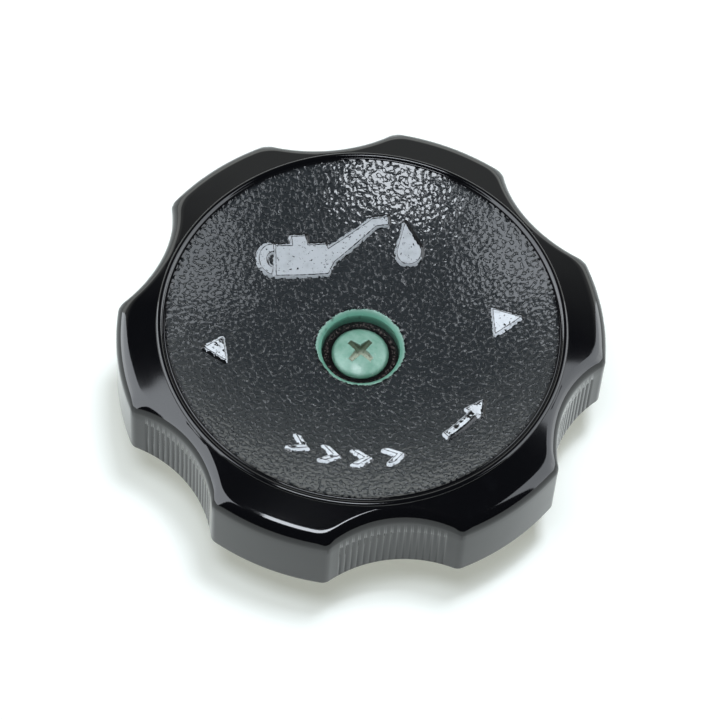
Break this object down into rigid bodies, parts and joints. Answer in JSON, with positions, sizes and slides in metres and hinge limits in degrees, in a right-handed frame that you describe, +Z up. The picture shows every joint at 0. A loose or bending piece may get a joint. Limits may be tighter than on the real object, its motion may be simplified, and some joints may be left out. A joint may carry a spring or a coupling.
{
  "type": "oil filler cap",
  "caption": "Engine oil filler cap: lobed hand knob with a dished face, screwed to a bayonet locking plate, with a sprung seal plate and gasket.",
  "frame": {"origin": "on the cap's axis, at the underside of the locking plate, on which the cap stands", "axes": "+Z up along the cap's axis towards the knob's face, +X towards a lobe and a bayonet ear, +Y towards the top of the signs on the face"},
  "size_m": [0.078, 0.0748, 0.0262],
  "materials": {
    "black_moulding": "glossy black moulding, satin pebble grain on the face",
    "green_paint": "hand-dabbed marking paint over steel",
    "white_paint": "worn white paint on the raised signs",
    "dark_steel": "dark oiled steel with rust specks",
    "zinc_steel": "yellow passivated zinc plating",
    "spring_steel": "plain drawn steel, lightly oiled",
    "fibre": "red-brown vulcanised fibre",
    "rubber": "matt black oil-proof rubber"
  },
  "bodies": {
    "cap_body": {"knob": "black_moulding", "knob_screw": "green_paint", "screw_washer": "dark_steel", "spindle": "zinc_steel", "stem_oring": "rubber", "thrust_washer": "fibre", "locking_plate": "zinc_steel", "seal_spring": "spring_steel"},
    "spring_seat": {"spring_seat": "spring_steel"},
    "seal": {"seal_plate": "zinc_steel", "gasket": "rubber"}
  },
  "joints": [
    {"name": "seal_slide", "type": "slide", "parent": "cap_body", "child": "spring_seat", "axis": [0, 0, 1], "range_m": [0, 0.002], "stiffness_N_per_m": 1600, "springref_m": -0.006, "deforming": ["seal_spring"]},
    {"name": "seal_spin", "type": "hinge", "parent": "spring_seat", "child": "seal", "pos_m": [0, 0, 0.0046], "axis": [0, 0, 1], "continuous": true}
  ]
}
